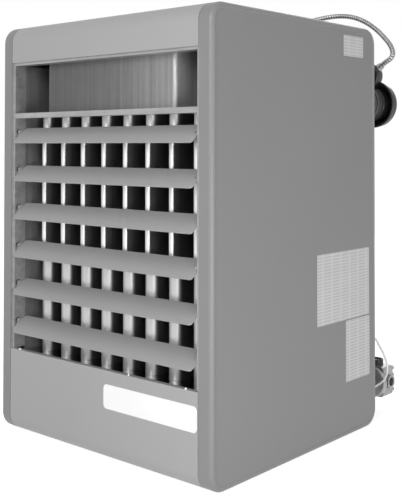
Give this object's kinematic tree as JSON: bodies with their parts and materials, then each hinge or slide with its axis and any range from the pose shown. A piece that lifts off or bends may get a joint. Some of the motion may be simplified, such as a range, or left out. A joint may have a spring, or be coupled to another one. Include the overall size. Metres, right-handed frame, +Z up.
{
  "type": "gas unit heater",
  "caption": "Suspended gas-fired unit heater: grey sheet steel cabinet, adjustable outlet louvers, tubular heat exchanger, rear propeller fan, power venter and gas valve.",
  "frame": {"origin": "centre of the cabinet's flat underside", "axes": "+Z up along the height, +X to the right seen from the louvered front, +Y towards the rear; the louvers face -Y"},
  "size_m": [0.643, 0.7649, 0.9805],
  "materials": {
    "jacket_paint": "semi-gloss grey baked enamel",
    "louver_paint": "semi-gloss grey baked enamel",
    "frame_steel": "galvanised sheet",
    "aluminised_steel": "bright aluminised sheet",
    "burner_steel": "stamped aluminised steel",
    "black_pipe": "black iron pipe",
    "valve_casting": "die cast aluminium",
    "black_plastic": "black moulded plastic",
    "black_enamel": "black enamel",
    "guard_wire": "zinc plated wire",
    "propeller_aluminium": "mill finish aluminium",
    "shaft_steel": "ground steel",
    "box_steel": "galvanised steel box",
    "conduit_steel": "interlocked steel armour",
    "lead_white": "white silicone insulation",
    "hose_rubber": "black rubber",
    "screw_zinc": "zinc plated",
    "pilot_aluminium": "bright aluminium tube"
  },
  "bodies": {
    "cabinet": {"left_side_panel": "jacket_paint", "right_side_panel": "jacket_paint", "top_panel": "jacket_paint", "lower_front_panel": "jacket_paint", "bottom_panel": "jacket_paint", "rear_panel": "jacket_paint", "outlet_frame": "frame_steel", "left_baffle": "frame_steel", "right_baffle": "frame_steel", "flue_collector_box": "aluminised_steel", "upper_tube_sheet": "aluminised_steel", "lower_tube_sheet": "aluminised_steel", "heat_exchanger_tube_1": "aluminised_steel", "heat_exchanger_tube_2": "aluminised_steel", "heat_exchanger_tube_3": "aluminised_steel", "heat_exchanger_tube_4": "aluminised_steel", "heat_exchanger_tube_5": "aluminised_steel", "heat_exchanger_tube_6": "aluminised_steel", "heat_exchanger_tube_7": "aluminised_steel", "heat_exchanger_tube_8": "aluminised_steel", "burner_rack": "burner_steel", "burner_set": "burner_steel", "gas_manifold": "black_pipe", "gas_valve_body": "valve_casting", "gas_valve_cover": "valve_casting", "pilot_burner": "pilot_aluminium", "pilot_tube": "pilot_aluminium", "fan_motor": "black_enamel", "fan_motor_bracket": "black_enamel", "fan_guard": "guard_wire", "venter_housing": "black_enamel", "venter_motor": "black_enamel", "venter_shroud": "black_enamel", "venter_terminal_housing": "black_enamel", "vent_collar": "aluminised_steel", "junction_box": "box_steel", "junction_box_cover": "box_steel", "armoured_conduit": "conduit_steel", "conduit_connectors": "box_steel", "ignition_control": "black_plastic", "transformer": "black_enamel", "pressure_switch": "black_plastic", "pressure_hose": "hose_rubber", "high_limit_switch": "box_steel", "ignition_lead": "lead_white", "louver_washers": "black_plastic", "jacket_screws": "screw_zinc", "hanger_nuts": "screw_zinc"},
    "louver_1": {"louver_1": "louver_paint"},
    "louver_2": {"louver_2": "louver_paint"},
    "louver_3": {"louver_3": "louver_paint"},
    "louver_4": {"louver_4": "louver_paint"},
    "louver_5": {"louver_5": "louver_paint"},
    "louver_6": {"louver_6": "louver_paint"},
    "fan_rotor": {"fan_propeller": "propeller_aluminium", "fan_shaft": "shaft_steel"},
    "venter_rotor": {"venter_wheel": "propeller_aluminium", "venter_shaft": "shaft_steel"},
    "valve_knob": {"gas_valve_knob": "black_plastic"}
  },
  "joints": [
    {"name": "louver_1_tilt", "type": "hinge", "parent": "cabinet", "child": "louver_1", "pos_m": [0, -0.268, 0.6696], "axis": [1, 0, 0], "range_deg": [-40, 45]},
    {"name": "louver_2_tilt", "type": "hinge", "parent": "cabinet", "child": "louver_2", "pos_m": [0, -0.268, 0.58484], "axis": [1, 0, 0], "range_deg": [-40, 45]},
    {"name": "louver_3_tilt", "type": "hinge", "parent": "cabinet", "child": "louver_3", "pos_m": [0, -0.268, 0.50008], "axis": [1, 0, 0], "range_deg": [-40, 45]},
    {"name": "louver_4_tilt", "type": "hinge", "parent": "cabinet", "child": "louver_4", "pos_m": [0, -0.268, 0.41532], "axis": [1, 0, 0], "range_deg": [-40, 45]},
    {"name": "louver_5_tilt", "type": "hinge", "parent": "cabinet", "child": "louver_5", "pos_m": [0, -0.268, 0.33056], "axis": [1, 0, 0], "range_deg": [-36, 49]},
    {"name": "louver_6_tilt", "type": "hinge", "parent": "cabinet", "child": "louver_6", "pos_m": [0, -0.268, 0.2458], "axis": [1, 0, 0], "range_deg": [-36, 49]},
    {"name": "fan_spin", "type": "hinge", "parent": "cabinet", "child": "fan_rotor", "pos_m": [0, 0.3065, 0.4304], "axis": [0, 1, 0], "continuous": true},
    {"name": "venter_spin", "type": "hinge", "parent": "cabinet", "child": "venter_rotor", "pos_m": [0.2105, 0.3125, 0.744], "axis": [0, 1, 0], "continuous": true},
    {"name": "valve_knob_turn", "type": "hinge", "parent": "cabinet", "child": "valve_knob", "pos_m": [0.2515, 0.4005, 0.107], "axis": [0, 0, 1], "range_deg": [0, 90]}
  ]
}
